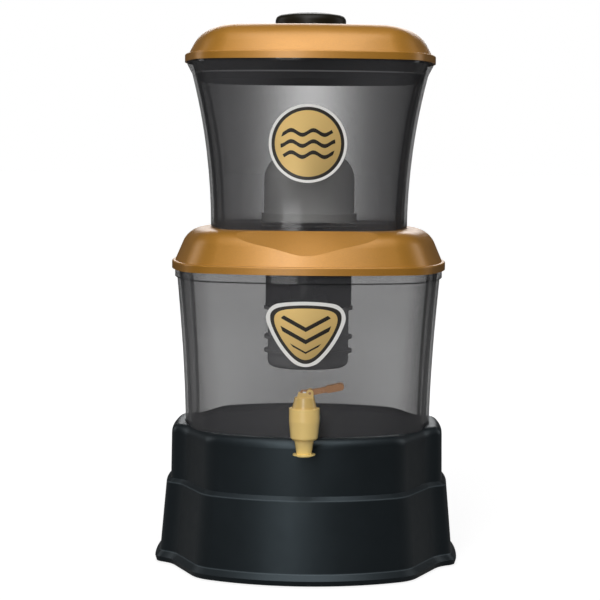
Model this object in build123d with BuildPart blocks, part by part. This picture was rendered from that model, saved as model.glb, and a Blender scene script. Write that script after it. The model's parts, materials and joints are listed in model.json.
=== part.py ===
from build123d import *
import math
import os

# Gravity water purifier: an upper tank with a ceramic filter, a media cartridge and a lower tank with a tap.
# Millimetres, +Z up, front towards -Y, origin on the table under the middle of the footprint.

# Plan of the tanks and covers: a square with bowed sides, from nearly round at the stand to squarer above.
# Each share is of the half width at that level.
round_bow = 0.25
square_bow = 0.18
corner_round = 0.36

# Plan of the stand: bowed front and back, a flat-sided lobe at each side and shallow flutes between them.
# It is drawn at stand_plan_half and scaled to the half width of each level.
stand_plan_half = 140.0
stand_bow = 28.0
stand_corner_inset = 44.0
stand_corner_radius = 36.0
stand_flute_inset = 17.0
stand_flute_spread = 104.0
stand_flute_radius = 30.0
stand_lobe_bow = 2.0
stand_lobe_length = 84.0
stand_lobe_radius = 12.0

# Fits
lift_clearance = 0.5
running_clearance = 0.05
pin_slot_clearance = 0.25
cut_past = 1.0
same_place = 0.01

# Stand
foot_lift = 1.5
stand_height = 136.5
stand_wall = 3.0
lip_half = 151.0
lip_tuck = 1.5
lip_edge_height = 5.0
lip_height = 10.5
skirt_low_half = 146.0
skirt_top_half = 140.0
skirt_height = 78.5
ledge_rise = 4.0
band_low_half = 135.5
band_top_half = 134.8
shoulder_radius = 9.0
deck_thickness = 4.0
lower_seat_depth = 6.0
column_radius = 9.0
column_x = 74.0
column_y = 78.0
foot_radius = 12.0
foot_plug_radius = 4.0
foot_plug_length = 9.0

# Lower tank
lower_height = 163.0
lower_bottom_half = 122.2
lower_top_half = 132.0
lower_flare = 1.6
lower_wall = 3.0
lower_floor = 3.5
lower_rim_height = 11.0
lower_rim_proud = 1.0
tank_edge_radius = 4.0
tank_sections = 5

# Middle cover
cover_seal_height = 2.0
cover_wall = 2.8
cover_skirt_wall = 2.5
cover_skirt_drop = 5.0
cover_band_rise = 2.7
cover_half = 134.0
cover_rise = 35.0
cover_draft = 23.0
cover_edge_radius = 24.0
cover_band_radius = 1.5
upper_seat_depth = 6.0
seat_pan_floor = 3.0
seat_pan_wall = 3.0
facet_drop = 16.6
facet_rim = 2.5
scoop_depth = 4.6
scoop_half = 46.0

# Upper tank
upper_height = 172.0
upper_bottom_half = 97.7
upper_top_half = 121.0
upper_flare = 2.1
upper_wall = 3.0
upper_floor = 4.0
upper_foot_height = 6.0
upper_foot_wall = 5.0
upper_rim_half = 121.8
upper_rim_height = 15.5
upper_rim_straight = 6.0

# Upper lid and its dark collar
collar_flange = 2.0
collar_depth = 22.0
collar_wall = 2.0
collar_gap = 1.0
lid_wall = 2.5
lid_skirt_wall = 1.8
lid_skirt_drop = 6.0
lid_band_rise = 1.4
lid_half = 121.5
lid_rise = 28.0
lid_draft = 28.0
lid_edge_radius = 32.0
lid_band_radius = 1.2

# Lid knob
knob_radius = 35.0
knob_height = 16.5
knob_crown = 4.0
knob_edge_radius = 6.0
knob_waist_inset = 3.0
knob_waist_height = 3.0
knob_screw_radius = 2.5
knob_screw_grip = 9.0
knob_screw_head_radius = 5.0
knob_screw_head_height = 3.0
knob_screw_drive = 3.0
knob_screw_hole = 2.8
knob_washer_radius = 9.0
knob_washer_height = 1.2

# Ceramic filter
ceramic_radius = 45.0
ceramic_height = 64.0
ceramic_wall = 8.0
ceramic_edge_radius = 28.0
ceramic_socket = 3.0
ceramic_flange_radius = 47.5
ceramic_flange_height = 8.0
ceramic_seal_radius = 22.0
ceramic_seal_height = 2.0
outlet_radius = 6.0
outlet_bore = 3.5
outlet_length = 24.0
outlet_hole_clearance = 0.5
ceramic_nut_radius = 10.0
ceramic_nut_height = 7.0
ceramic_nut_wing_reach = 17.0
ceramic_nut_wing_thickness = 4.0

# Media cartridge
cartridge_radius = 43.0
cartridge_wall = 2.5
head_plate = 4.5
head_neck_radius = 23.6
head_neck_wall = 3.0
head_neck_rise = 4.5
head_cup_depth = 15.0
head_cup_floor = 3.0
head_spigot_length = 8.0
drip_hole_radius = 2.5
drip_hole_ring = 13.0
drip_hole_count = 8
neck_hole_clearance = 0.4
cartridge_gasket_height = 1.5
cartridge_gasket_radius = 38.0
ring_nut_radius = 33.0
ring_nut_height = 4.0
ring_nut_notch = 5.0
ring_nut_notch_count = 8
sleeve_length = 64.0
cup_spigot_length = 9.0
cup_floor = 3.0
cup_edge_radius = 7.0
cup_top_rib_proud = 1.5
cup_rib_proud = 1.0
cup_rib_height = 3.0
cup_rib_spots = (15.0, 29.0)
cup_outlet_radius = 2.5
cup_outlet_inner_ring = 10.0
cup_outlet_inner_count = 6
cup_outlet_outer_ring = 22.0
cup_outlet_outer_count = 12
media_clearance = 0.3
pad_thickness = 2.5
carbon_depth = 26.0
zeolite_depth = 24.0
silica_depth = 24.0
mineral_depth = 20.5

# Tap
tap_boss_clear = 4.0
tap_reach = 34.0
tap_boss_radius = 15.0
tap_boss_proud = 2.0
tap_boss_inset = 2.0
tap_washer = 1.5
tap_washer_radius = 14.0
tap_flange_radius = 13.0
tap_flange = 3.0
tap_neck_radius = 9.0
shank_radius = 8.0
shank_bore = 5.0
shank_hole_clearance = 0.3
shank_end = 4.0
tap_nut_flats = 25.0
tap_nut_height = 7.0
barrel_top_radius = 14.2
barrel_low_radius = 12.7
barrel_above = 14.0
barrel_below = 15.5
barrel_straight = 12.0
barrel_chamfer = 2.0
chamber_radius = 10.0
chamber_below = 11.0
nozzle_top_radius = 9.0
nozzle_end_radius = 6.6
nozzle_length = 15.7
nozzle_bore = 5.0
spout_ring_radius = 10.5
spout_ring_height = 1.0
spout_ring_up = 1.5
bonnet_low_radius = 11.4
bonnet_top_radius = 9.0
bonnet_height = 10.0
bonnet_plug = 4.0
ear_thickness = 2.6
ear_radius = 3.4
ear_reach = 5.6
pivot_x = 5.0
pivot_above_bonnet = 4.5
pin_radius = 1.25
lever_hub_width = 5.8
lever_hub_gap = 0.2
lever_height = 5.0
lever_width = 10.0
lever_tail = 1.5
lever_length = 32.0
lever_paddle_start = 14.0
lever_paddle_height = 6.4
lever_rest_angle = 12.0
fork_slot = 2.5
fork_root = 2.2
stem_radius = 2.2
stem_blade_thickness = 2.0
stem_blade_width = 3.2
stem_above_pin = 2.5
stem_pin_radius = 1.0
stem_pin_travel = 0.8
stem_socket = 4.0
valve_radius = 8.0
valve_height = 6.0
stem_seal_radius = 3.8
stem_seal_height = 2.0
spring_radius = 5.5
spring_wire = 0.6
spring_turns = 5

# Front labels
label_film = 0.4
label_gap = 0.1
round_label_radius = 37.0
round_label_rise = 88.7
shield_reach = 40.3
shield_offset = 3.2
shield_height = 62.5
shield_crown_bow = 4.8
shield_side_bow = 8.0
shield_corner_radius = 14.0
shield_tip_radius = 20.0

# Levels, from the table up
stand_bottom = foot_lift
stand_top = stand_bottom + stand_height
deck_top = stand_top - lower_seat_depth
lower_bottom = deck_top
lower_top = lower_bottom + lower_height
cover_ledge = lower_top + cover_seal_height
cover_bottom = cover_ledge - cover_skirt_drop
cover_top = cover_ledge + cover_rise
upper_bottom = cover_top - upper_seat_depth
upper_top = upper_bottom + upper_height
lid_ledge = upper_top + collar_flange
lid_bottom = lid_ledge - lid_skirt_drop
lid_top = lid_ledge + lid_rise

# Half widths that fit into one another
lower_rim_half = lower_top_half + lower_rim_proud
cover_skirt_half = lower_rim_half + lift_clearance + cover_skirt_wall
upper_seat_half = upper_bottom_half + lift_clearance
lid_skirt_half = upper_rim_half + lift_clearance + lid_skirt_wall


def plan(level, half_width, bow=square_bow):
    """The tanks' and covers' plan at a height, with sides bowed by a share of the half width."""
    corner = half_width * (1 - bow)
    with BuildSketch(Plane.XY.offset(level)) as outline:
        with BuildLine():
            ThreePointArc((-corner, -corner), (0, -half_width), (corner, -corner))
            ThreePointArc((corner, -corner), (half_width, 0), (corner, corner))
            ThreePointArc((corner, corner), (0, half_width), (-corner, corner))
            ThreePointArc((-corner, corner), (-half_width, 0), (-corner, -corner))
        make_face()
        fillet(outline.vertices(), half_width * corner_round)
    return outline.sketch


def stand_plan(level, half_width):
    """The stand's fluted plan at a height, scaled to a half width."""
    scale = half_width / stand_plan_half
    corner_x = (stand_plan_half - stand_corner_inset) * scale
    corner_y = (stand_plan_half - stand_bow) * scale
    flute_x = (stand_plan_half - stand_flute_inset) * scale
    flute_y = stand_flute_spread / 2 * scale
    lobe_x = (stand_plan_half - stand_lobe_bow) * scale
    lobe_y = stand_lobe_length / 2 * scale
    with BuildSketch(Plane.XY.offset(level)) as outline:
        with BuildLine():
            for side in (-1, 1):
                front_y = side * corner_y
                ThreePointArc((-corner_x, front_y), (0, side * half_width), (corner_x, front_y))
                ThreePointArc((side * lobe_x, -lobe_y), (side * half_width, 0), (side * lobe_x, lobe_y))
                for end in (-1, 1):
                    Polyline(
                        (side * lobe_x, end * lobe_y),
                        (side * flute_x, end * flute_y),
                        (side * corner_x, end * corner_y),
                    )
        make_face()
        for place, radius in (
            (corner_x, stand_corner_radius),
            (flute_x, stand_flute_radius),
            (lobe_x, stand_lobe_radius),
        ):
            turns = outline.vertices().filter_by(lambda v: abs(abs(v.X) - place) < same_place)
            fillet(turns, radius * scale)
    return outline.sketch


def plans(levels):
    """Tank and cover plans for a list of heights and half widths."""
    return [plan(level, half_width) for level, half_width in levels]


def stand_plans(levels):
    """Stand plans for a list of heights and half widths."""
    return [stand_plan(level, half_width) for level, half_width in levels]


def section_heights(low, high):
    """Evenly spaced heights for the sections of a tank wall."""
    step = (high - low) / (tank_sections - 1)
    return [low + step * i for i in range(tank_sections)]


def lower_half(height):
    """Outer half width of the lower tank at a height."""
    share = (height - lower_bottom) / lower_height
    return lower_bottom_half + (lower_top_half - lower_bottom_half) * share**lower_flare


def upper_half(height):
    """Outer half width of the upper tank at a height."""
    share = (height - upper_bottom) / upper_height
    return upper_bottom_half + (upper_top_half - upper_bottom_half) * share**upper_flare


def lower_bow(height):
    """Bow of the lower tank's sides at a height, rounder towards the stand."""
    share = (height - lower_bottom) / lower_height
    return round_bow + (square_bow - round_bow) * share


def lower_plans(low, high, inset):
    """Plans of the lower tank's wall between two heights, drawn in by an inset."""
    return [plan(z, lower_half(z) - inset, lower_bow(z)) for z in section_heights(low, high)]


def upper_plans(low, high, inset):
    """Plans of the upper tank's wall between two heights, drawn in by an inset."""
    return [plan(z, upper_half(z) - inset) for z in section_heights(low, high)]


def dome(low, half_width, high, draft, edge_radius):
    """A drafted block on the plan outline with a rounded top edge."""
    top_half = half_width - (high - low) * math.tan(math.radians(draft))
    with BuildPart() as block:
        loft(sections=plans([(low, half_width), (high, top_half)]), ruled=True)
        fillet(block.faces().sort_by(Axis.Z)[-1].edges(), edge_radius)
    return block.part


def band(low, high, half_width, edge_radius):
    """A straight band on the plan outline with rounded outer edges."""
    with BuildPart() as block:
        extrude(plan(low, half_width), amount=high - low)
        fillet(block.edges().filter_by_position(Axis.Z, high, high), edge_radius)
    return block.part


def front_cut(centre, run, depth, inset):
    """Section of the cut over the cover's front facet, square to its run, with the finger scoop inside."""
    with BuildSketch(Plane(centre, x_dir=(1, 0, 0), z_dir=-run)) as section:
        with BuildLine():
            Polyline(
                (-scoop_half, -inset),
                (-cover_half, -inset),
                (-cover_half, cover_rise),
                (cover_half, cover_rise),
                (cover_half, -inset),
                (scoop_half, -inset),
            )
            Spline(
                (-scoop_half, -inset),
                (0, -inset - depth),
                (scoop_half, -inset),
                tangents=[(1, 0), (1, 0)],
            )
        make_face()
    return section.sketch


def cover_block(inset):
    """The cover's domed block with the sloping front facet and its finger scoop, drawn in by an inset."""
    facet_front = cover_half - (cover_rise - facet_drop) * math.tan(math.radians(cover_draft))
    facet_low = Vector(0, -facet_front, cover_top - facet_drop)
    facet_high = Vector(0, -upper_seat_half - facet_rim, cover_top)
    run = (facet_high - facet_low).normalized()
    front_end = front_cut(facet_low - run * facet_drop, run, scoop_depth, inset)
    back_end = front_cut(facet_high + run * cut_past, run, 0, inset)
    with BuildPart() as shaped:
        add(dome(cover_ledge, cover_half - inset, cover_top - inset, cover_draft, cover_edge_radius - inset))
        loft(sections=[front_end, back_end], ruled=True, mode=Mode.SUBTRACT)
    return shaped.part


# Stand: fluted shell with a flared lip, a moulded ledge, a deck for the lower tank and four columns
ledge_low = stand_bottom + skirt_height
ledge_top = ledge_low + ledge_rise
deck_under = deck_top - deck_thickness
stand_outside = [
    (stand_bottom, lip_half - lip_tuck),
    (stand_bottom + lip_edge_height, lip_half),
    (stand_bottom + lip_height, skirt_low_half),
    (ledge_low, skirt_top_half),
    (ledge_top, band_low_half),
    (stand_top, band_top_half),
]
stand_inside = [
    (stand_bottom - cut_past, skirt_low_half - stand_wall),
    (ledge_low, skirt_top_half - stand_wall),
    (ledge_top, band_low_half - stand_wall),
    (deck_under, band_top_half - stand_wall),
]
column_spots = [(x, y) for x in (-column_x, column_x) for y in (-column_y, column_y)]
with BuildPart() as stand:
    loft(sections=stand_plans(stand_outside), ruled=True)
    fillet(stand.faces().sort_by(Axis.Z)[-1].edges(), shoulder_radius)
    loft(sections=stand_plans(stand_inside), ruled=True, mode=Mode.SUBTRACT)
    extrude(
        plan(deck_top, lower_bottom_half + lift_clearance, round_bow),
        amount=lower_seat_depth,
        mode=Mode.SUBTRACT,
    )
    with BuildSketch(Plane.XY.offset(stand_bottom)):
        with Locations(*column_spots):
            Circle(column_radius)
    extrude(amount=deck_under - stand_bottom)
    with BuildSketch(Plane.XY.offset(stand_bottom)):
        with Locations(*column_spots):
            Circle(foot_plug_radius + running_clearance)
    extrude(amount=foot_plug_length + cut_past, mode=Mode.SUBTRACT)

# Rubber feet under the columns, each with a plug
with BuildPart() as stand_feet:
    with BuildSketch():
        with Locations(*column_spots):
            Circle(foot_radius)
    extrude(amount=foot_lift)
    with BuildSketch(Plane.XY.offset(foot_lift)):
        with Locations(*column_spots):
            Circle(foot_plug_radius)
    extrude(amount=foot_plug_length)

# Lower tank's moulding: flared shell with a rim bead and a flat boss where the tap goes through
tap_height = stand_top + tap_boss_radius + tap_boss_clear
tap_outside = lower_half(tap_height) + tap_boss_proud
tap_inside = lower_half(tap_height) - lower_wall - tap_boss_inset
with BuildPart() as lower_moulding:
    loft(sections=lower_plans(lower_bottom, lower_top, 0))
    fillet(lower_moulding.faces().sort_by(Axis.Z)[0].edges(), tank_edge_radius)
    extrude(plan(lower_top - lower_rim_height, lower_rim_half), amount=lower_rim_height)
    loft(sections=lower_plans(lower_bottom + lower_floor, lower_top, lower_wall), mode=Mode.SUBTRACT)
    with BuildSketch(Plane.XZ.offset(tap_inside)):
        with Locations((0, tap_height)):
            Circle(tap_boss_radius)
    extrude(amount=tap_outside - tap_inside)
    with BuildSketch(Plane.XZ.offset(tap_inside)):
        with Locations((0, tap_height)):
            Circle(shank_radius + shank_hole_clearance)
    extrude(amount=tap_outside - tap_inside, mode=Mode.SUBTRACT)

# Walls and floor of that moulding, parted level with the inside of the floor
lower_parting = Plane.XY.offset(lower_bottom + lower_floor)
with BuildPart() as lower_tank:
    add(lower_moulding)
    split(bisect_by=lower_parting, keep=Keep.TOP)
with BuildPart() as lower_tank_floor:
    add(lower_moulding)
    split(bisect_by=lower_parting, keep=Keep.BOTTOM)

# Silicone seal between the lower tank's rim and the cover
with BuildPart() as cover_seal:
    extrude(plan(lower_top, lower_rim_half), amount=cover_seal_height)
    extrude(plan(lower_top, lower_top_half - lower_wall), amount=cover_seal_height, mode=Mode.SUBTRACT)

# Middle cover: domed shell over the lower tank with a seat for the upper tank
seat_floor_under = upper_bottom - seat_pan_floor
neck_hole = head_neck_radius + neck_hole_clearance
with BuildPart() as mid_cover:
    add(cover_block(0))
    add(band(cover_bottom, cover_ledge + cover_band_rise, cover_skirt_half, cover_band_radius))
    add(cover_block(cover_wall), mode=Mode.SUBTRACT)
    extrude(
        plan(cover_bottom, lower_rim_half + lift_clearance),
        amount=cover_skirt_drop,
        mode=Mode.SUBTRACT,
    )
    extrude(
        plan(seat_floor_under, upper_seat_half + seat_pan_wall),
        amount=cover_top - cover_wall - seat_floor_under,
    )
    extrude(plan(upper_bottom, upper_seat_half), amount=upper_seat_depth, mode=Mode.SUBTRACT)
    with BuildSketch(Plane.XY.offset(seat_floor_under)):
        Circle(neck_hole)
    extrude(amount=seat_pan_floor, mode=Mode.SUBTRACT)

# Upper tank: flared shell with a raised floor, a rim flange and a hole for the filter outlet
upper_floor_under = upper_bottom + upper_foot_height
upper_floor_top = upper_floor_under + upper_floor
rim_low = upper_top - upper_rim_height
with BuildPart() as upper_tank:
    loft(sections=upper_plans(upper_bottom, upper_top, 0))
    fillet(upper_tank.faces().sort_by(Axis.Z)[0].edges(), tank_edge_radius)
    loft(
        sections=plans(
            [
                (rim_low, upper_half(rim_low)),
                (upper_top - upper_rim_straight, upper_rim_half),
                (upper_top, upper_rim_half),
            ]
        ),
        ruled=True,
    )
    loft(sections=upper_plans(upper_floor_top, upper_top, upper_wall), mode=Mode.SUBTRACT)
    extrude(
        plan(upper_bottom, upper_bottom_half - upper_foot_wall),
        amount=upper_foot_height,
        mode=Mode.SUBTRACT,
    )
    with BuildSketch(Plane.XY.offset(upper_floor_under)):
        Circle(outlet_radius + outlet_hole_clearance)
    extrude(amount=upper_floor, mode=Mode.SUBTRACT)

# Dark collar under the lid, which drops into the mouth of the upper tank
collar_low = upper_top - collar_depth
collar_low_half = upper_half(collar_low) - upper_wall - collar_gap
collar_top_half = upper_top_half - upper_wall - collar_gap
collar_slope = (collar_top_half - collar_low_half) / collar_depth
collar_mouth_half = collar_top_half - collar_wall + collar_slope * (collar_flange + cut_past)
with BuildPart() as lid_collar:
    loft(sections=plans([(collar_low, collar_low_half), (upper_top, collar_top_half)]), ruled=True)
    extrude(plan(upper_top, upper_rim_half), amount=collar_flange)
    loft(
        sections=plans(
            [
                (collar_low - cut_past, collar_low_half - collar_wall - collar_slope * cut_past),
                (lid_ledge + cut_past, collar_mouth_half),
            ]
        ),
        ruled=True,
        mode=Mode.SUBTRACT,
    )

# Upper lid: domed shell with a rim band around the tank's flange
with BuildPart() as upper_lid:
    add(dome(lid_ledge, lid_half, lid_top, lid_draft, lid_edge_radius))
    add(band(lid_bottom, lid_ledge + lid_band_rise, lid_skirt_half, lid_band_radius))
    add(
        dome(lid_ledge, lid_half - lid_wall, lid_top - lid_wall, lid_draft, lid_edge_radius - lid_wall),
        mode=Mode.SUBTRACT,
    )
    extrude(plan(lid_bottom, upper_rim_half + lift_clearance), amount=lid_skirt_drop, mode=Mode.SUBTRACT)
    with BuildSketch(Plane.XY.offset(lid_top - lid_wall)):
        Circle(knob_screw_hole)
    extrude(amount=lid_wall, mode=Mode.SUBTRACT)

# Knob: low puck with a waist below and a crowned top
with BuildPart() as lid_knob:
    with BuildSketch(Plane.XZ):
        with BuildLine():
            Polyline(
                (0, lid_top),
                (knob_radius - knob_waist_inset, lid_top),
                (knob_radius, lid_top + knob_waist_height),
                (knob_radius, lid_top + knob_height - knob_crown),
            )
            ThreePointArc(
                (knob_radius, lid_top + knob_height - knob_crown),
                (knob_radius / 2, lid_top + knob_height - knob_crown / 4),
                (0, lid_top + knob_height),
            )
            Line((0, lid_top + knob_height), (0, lid_top))
        make_face()
    revolve(axis=Axis.Z)
    rim_height = lid_top + knob_height - knob_crown
    fillet(lid_knob.edges().filter_by_position(Axis.Z, rim_height, rim_height), knob_edge_radius)
    with BuildSketch(Plane.XY.offset(lid_top)):
        Circle(knob_screw_radius + running_clearance)
    extrude(amount=knob_screw_grip, mode=Mode.SUBTRACT)

# Washer and screw that hold the knob from inside the lid
lid_ceiling = lid_top - lid_wall
with BuildPart() as knob_washer:
    with BuildSketch(Plane.XY.offset(lid_ceiling)):
        Circle(knob_washer_radius)
        Circle(knob_screw_hole, mode=Mode.SUBTRACT)
    extrude(amount=-knob_washer_height)

screw_seat = lid_ceiling - knob_washer_height
with BuildPart() as knob_screw:
    with BuildSketch(Plane.XY.offset(screw_seat - knob_screw_head_height)):
        Circle(knob_screw_head_radius)
    extrude(amount=knob_screw_head_height)
    with BuildSketch(Plane.XY.offset(screw_seat)):
        Circle(knob_screw_radius)
    extrude(amount=lid_top + knob_screw_grip - screw_seat - running_clearance)
    with BuildSketch(Plane.XY.offset(screw_seat - knob_screw_head_height)):
        RegularPolygon(knob_screw_drive, 6)
    extrude(amount=knob_screw_head_height / 2, mode=Mode.SUBTRACT)

# Ceramic filter: sealing washer, flange with the outlet tube, hollow dome and wing nut
flange_bottom = upper_floor_top + ceramic_seal_height
flange_top = flange_bottom + ceramic_flange_height
dome_bottom = flange_top - ceramic_socket
dome_top = dome_bottom + ceramic_height
outlet_bottom = upper_floor_under - outlet_length
with BuildPart() as ceramic_seal:
    with BuildSketch(Plane.XY.offset(upper_floor_top)):
        Circle(ceramic_seal_radius)
        Circle(outlet_radius + outlet_hole_clearance, mode=Mode.SUBTRACT)
    extrude(amount=ceramic_seal_height)

with BuildPart() as ceramic_base:
    with BuildSketch(Plane.XY.offset(flange_bottom)):
        Circle(ceramic_flange_radius)
    extrude(amount=ceramic_flange_height)
    with BuildSketch(Plane.XY.offset(dome_bottom)):
        Circle(ceramic_radius + running_clearance)
    extrude(amount=ceramic_socket, mode=Mode.SUBTRACT)
    with BuildSketch(Plane.XY.offset(outlet_bottom)):
        Circle(outlet_radius)
    extrude(amount=flange_bottom - outlet_bottom)
    with BuildSketch(Plane.XY.offset(outlet_bottom)):
        Circle(outlet_bore)
    extrude(amount=flange_top - outlet_bottom, mode=Mode.SUBTRACT)

with BuildPart() as ceramic_dome:
    with BuildSketch(Plane.XY.offset(dome_bottom)):
        Circle(ceramic_radius)
    extrude(amount=ceramic_height)
    fillet(ceramic_dome.edges().sort_by(Axis.Z)[-1], ceramic_edge_radius)
    with BuildSketch(Plane.XZ):
        with BuildLine():
            inner_radius = ceramic_radius - ceramic_wall
            inner_top = dome_top - ceramic_wall
            inner_edge = ceramic_edge_radius - ceramic_wall
            edge_low = (inner_radius, inner_top - inner_edge)
            edge_high = (inner_radius - inner_edge, inner_top)
            Polyline((0, inner_top), (0, dome_bottom), (inner_radius, dome_bottom), edge_low)
            RadiusArc(edge_low, edge_high, -inner_edge)
            Line(edge_high, (0, inner_top))
        make_face()
    revolve(axis=Axis.Z, mode=Mode.SUBTRACT)

with BuildPart() as ceramic_nut:
    with BuildSketch(Plane.XY.offset(upper_floor_under)):
        Circle(ceramic_nut_radius)
        Rectangle(ceramic_nut_wing_reach * 2, ceramic_nut_wing_thickness)
        Circle(outlet_radius + running_clearance, mode=Mode.SUBTRACT)
    extrude(amount=-ceramic_nut_height)

# Cartridge head: plate, neck through the cover, drip cup and a spigot for the sleeve
gasket_bottom = seat_floor_under - cartridge_gasket_height
plate_bottom = gasket_bottom - head_plate
neck_top = upper_bottom + head_neck_rise
cup_floor_top = plate_bottom - head_cup_depth + head_cup_floor
cup_floor_under = cup_floor_top - head_cup_floor
sleeve_bore = cartridge_radius - cartridge_wall
spigot_radius = sleeve_bore - running_clearance
neck_bore = head_neck_radius - head_neck_wall
with BuildPart() as cartridge_head:
    with BuildSketch(Plane.XY.offset(plate_bottom)):
        Circle(cartridge_radius)
    extrude(amount=head_plate)
    with BuildSketch(Plane.XY.offset(cup_floor_under)):
        Circle(head_neck_radius)
    extrude(amount=neck_top - cup_floor_under)
    with BuildSketch(Plane.XY.offset(plate_bottom)):
        Circle(spigot_radius)
        Circle(spigot_radius - cartridge_wall, mode=Mode.SUBTRACT)
    extrude(amount=-head_spigot_length)
    with BuildSketch(Plane.XY.offset(cup_floor_top)):
        Circle(neck_bore)
    extrude(amount=neck_top - cup_floor_top, mode=Mode.SUBTRACT)
    with BuildSketch(Plane.XY.offset(cup_floor_under)):
        with PolarLocations(drip_hole_ring, drip_hole_count):
            Circle(drip_hole_radius)
    extrude(amount=head_cup_floor, mode=Mode.SUBTRACT)

with BuildPart() as cartridge_gasket:
    with BuildSketch(Plane.XY.offset(gasket_bottom)):
        Circle(cartridge_gasket_radius)
        Circle(neck_hole, mode=Mode.SUBTRACT)
    extrude(amount=cartridge_gasket_height)

# Notched ring nut that clamps the cartridge to the cover's seat
with BuildPart() as cartridge_ring:
    with BuildSketch(Plane.XY.offset(upper_bottom)):
        Circle(ring_nut_radius)
        Circle(head_neck_radius + running_clearance, mode=Mode.SUBTRACT)
        with PolarLocations(ring_nut_radius, ring_nut_notch_count):
            Circle(ring_nut_notch / 2, mode=Mode.SUBTRACT)
    extrude(amount=ring_nut_height)

# Media stack, counted down from the drip cup
stack = []
stack_top = cup_floor_under
for name, depth in (
    ("pad", pad_thickness),
    ("carbon_bed", carbon_depth),
    ("pad", pad_thickness),
    ("zeolite_bed", zeolite_depth),
    ("pad", pad_thickness),
    ("silica_bed", silica_depth),
    ("pad", pad_thickness),
    ("mineral_bed", mineral_depth),
    ("pad", pad_thickness),
):
    stack_top -= depth
    stack.append((name, stack_top, depth))
stack_bottom = stack_top

# Cartridge sleeve and cup, which hold the stack
sleeve_bottom = plate_bottom - sleeve_length
cup_bottom = stack_bottom - cup_floor
cup_bore = spigot_radius - cartridge_wall
with BuildPart() as cartridge_sleeve:
    with BuildSketch(Plane.XY.offset(sleeve_bottom)):
        Circle(cartridge_radius)
        Circle(sleeve_bore, mode=Mode.SUBTRACT)
    extrude(amount=sleeve_length)

with BuildPart() as cartridge_cup:
    with BuildSketch(Plane.XY.offset(cup_bottom)):
        Circle(cup_bore + cartridge_wall)
    extrude(amount=sleeve_bottom + cup_spigot_length - cup_bottom)
    fillet(cartridge_cup.edges().sort_by(Axis.Z)[0], cup_edge_radius)
    with BuildSketch(Plane.XY.offset(sleeve_bottom)):
        Circle(cartridge_radius + cup_top_rib_proud)
    extrude(amount=-cup_rib_height)
    for rib_rise in cup_rib_spots:
        with BuildSketch(Plane.XY.offset(cup_bottom + rib_rise)):
            Circle(cartridge_radius + cup_rib_proud)
        extrude(amount=cup_rib_height)
    with BuildSketch(Plane.XY.offset(stack_bottom)):
        Circle(cup_bore)
    extrude(amount=sleeve_bottom + cup_spigot_length - stack_bottom, mode=Mode.SUBTRACT)
    with BuildSketch(Plane.XY.offset(cup_bottom)):
        with PolarLocations(cup_outlet_inner_ring, cup_outlet_inner_count):
            Circle(cup_outlet_radius)
        with PolarLocations(cup_outlet_outer_ring, cup_outlet_outer_count):
            Circle(cup_outlet_radius)
    extrude(amount=cup_floor, mode=Mode.SUBTRACT)

# Filter pads and beds between them
media_radius = cup_bore - media_clearance
with BuildPart() as filter_pads:
    for name, level, depth in stack:
        if name == "pad":
            with BuildSketch(Plane.XY.offset(level)):
                Circle(media_radius)
            extrude(amount=depth)

beds = {}
for name, level, depth in stack:
    if name != "pad":
        with BuildPart() as bed:
            with BuildSketch(Plane.XY.offset(level)):
                Circle(media_radius)
            extrude(amount=depth)
        beds[name] = bed

# Tap body: flanged shank through the tank wall, upright barrel and tapered nozzle
tap_axis = tap_outside + tap_reach
tap_line = Axis((0, -tap_axis, 0), (0, 0, 1))
tap_plane = Plane.XZ.offset(tap_axis)
barrel_top = tap_height + barrel_above
barrel_low = tap_height - barrel_below
nozzle_end = barrel_low - nozzle_length
valve_seat = tap_height - chamber_below
shank_tip = tap_inside - tap_washer - tap_nut_height - shank_end
with BuildPart() as tap_body:
    with BuildSketch(tap_plane):
        with BuildLine():
            Polyline(
                (0, nozzle_end),
                (nozzle_end_radius, nozzle_end),
                (nozzle_top_radius, barrel_low),
                (barrel_low_radius - barrel_chamfer, barrel_low),
                (barrel_low_radius, barrel_low + barrel_chamfer),
                (barrel_top_radius, barrel_top - barrel_straight),
                (barrel_top_radius, barrel_top),
                (0, barrel_top),
                close=True,
            )
        make_face()
    revolve(axis=tap_line)
    with BuildSketch(Plane.XZ.offset(shank_tip)):
        with Locations((0, tap_height)):
            Circle(shank_radius)
    extrude(amount=tap_axis - shank_tip)
    with BuildSketch(Plane.XZ.offset(tap_outside + tap_washer)):
        with Locations((0, tap_height)):
            Circle(tap_flange_radius)
    extrude(amount=tap_flange)
    with BuildSketch(Plane.XZ.offset(tap_outside + tap_washer)):
        with Locations((0, tap_height)):
            Circle(tap_neck_radius)
    extrude(amount=tap_reach - tap_washer)
    with BuildSketch(Plane.XZ.offset(shank_tip)):
        with Locations((0, tap_height)):
            Circle(shank_bore)
    extrude(amount=tap_axis - shank_tip, mode=Mode.SUBTRACT)
    with BuildSketch(Plane.XY.offset(valve_seat)):
        with Locations((0, -tap_axis)):
            Circle(chamber_radius)
    extrude(amount=barrel_top - valve_seat, mode=Mode.SUBTRACT)
    with BuildSketch(Plane.XY.offset(nozzle_end)):
        with Locations((0, -tap_axis)):
            Circle(nozzle_bore)
    extrude(amount=valve_seat - nozzle_end, mode=Mode.SUBTRACT)

# Washers on both faces of the tank wall, and the nut inside
with BuildPart() as tap_outer_washer:
    with BuildSketch(Plane.XZ.offset(tap_outside)):
        with Locations((0, tap_height)):
            Circle(tap_washer_radius)
            Circle(shank_radius + running_clearance, mode=Mode.SUBTRACT)
    extrude(amount=tap_washer)

with BuildPart() as tap_inner_washer:
    with BuildSketch(Plane.XZ.offset(tap_inside - tap_washer)):
        with Locations((0, tap_height)):
            Circle(tap_washer_radius)
            Circle(shank_radius + running_clearance, mode=Mode.SUBTRACT)
    extrude(amount=tap_washer)

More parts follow.
